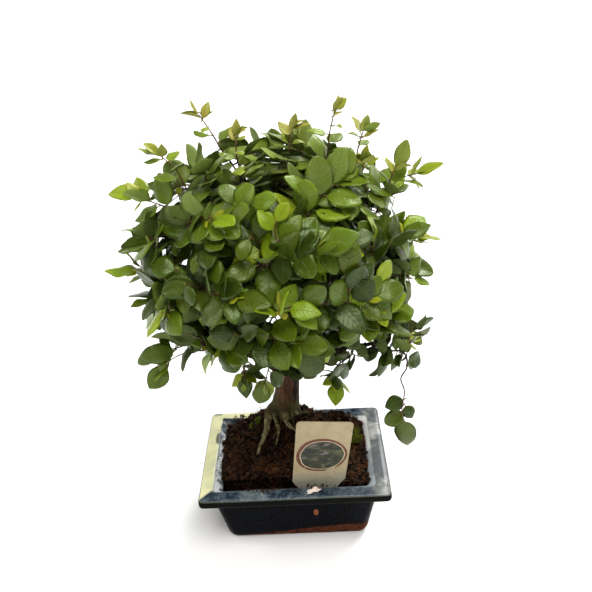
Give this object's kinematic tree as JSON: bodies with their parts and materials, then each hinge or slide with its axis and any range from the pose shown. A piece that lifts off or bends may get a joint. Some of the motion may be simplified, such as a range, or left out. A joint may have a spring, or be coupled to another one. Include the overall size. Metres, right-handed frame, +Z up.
{
  "type": "potted bonsai tree",
  "caption": "Small-leaved bonsai tree with a dense rounded crown, standing in a glazed rectangular pot with soil, moss and a plant label.",
  "frame": {"origin": "middle of the pot's flat foot, on the surface that the pot stands on", "axes": "+X along the pot's long side, -Y towards the front with the plant label, +Z up the trunk"},
  "size_m": [0.2461, 0.2154, 0.3519],
  "materials": {
    "pot_glaze": "glossy, mottled blue-black glaze over a bare terracotta foot",
    "screen_plastic": "moulded mesh",
    "root_ball_soil": "matt, fibrous peat held by roots",
    "potting_mix": "matt, crumbly",
    "moss": "matt, tufted",
    "bark": "thin, finely cracked, grey-green low down",
    "leaf": "waxy, veined",
    "label_plastic": "printed plastic card"
  },
  "bodies": {
    "root": {"crown_shoot_01": "leaf", "crown_shoot_02": "leaf", "crown_shoot_03": "leaf", "crown_shoot_04": "leaf", "crown_shoot_05": "leaf", "crown_shoot_06": "leaf", "crown_shoot_07": "leaf", "crown_shoot_08": "leaf", "crown_shoot_09": "leaf", "crown_shoot_10": "leaf", "crown_shoot_11": "leaf", "crown_shoot_12": "leaf", "crown_shoot_13": "leaf", "crown_shoot_14": "leaf", "crown_shoot_15": "leaf", "crown_shoot_16": "leaf", "crown_shoot_17": "leaf", "crown_shoot_18": "leaf", "crown_shoot_19": "leaf", "crown_shoot_20": "leaf", "crown_shoot_21": "leaf", "crown_shoot_22": "leaf", "crown_shoot_23": "leaf", "crown_shoot_24": "leaf", "crown_shoot_25": "leaf", "crown_shoot_26": "leaf", "drain_screen_left": "screen_plastic", "drain_screen_right": "screen_plastic", "moss_left": "moss", "moss_right": "moss", "plant_label": "label_plastic", "pot": "pot_glaze", "potting_mix": "potting_mix", "root_ball": "root_ball_soil", "shoot_front_bright": "leaf", "shoot_front_left": "leaf", "shoot_front_right": "leaf", "shoot_left_droop": "leaf", "shoot_left_high": "leaf", "shoot_left_low": "leaf", "shoot_left_middle": "leaf", "shoot_left_upper": "leaf", "shoot_left_wide": "leaf", "shoot_right_drop": "leaf", "shoot_right_high": "leaf", "shoot_right_long": "leaf", "shoot_right_lower": "leaf", "shoot_right_middle": "leaf", "shoot_right_top": "leaf", "shoot_right_top_small": "leaf", "shoot_top_left": "leaf", "shoot_top_left_inner": "leaf", "shoot_top_middle": "leaf", "shoot_top_right": "leaf", "shoot_trailing": "leaf", "shoot_under_front": "leaf", "shoot_under_left": "leaf", "shoot_under_right": "leaf", "trunk": "bark"}
  },
  "joints": []
}
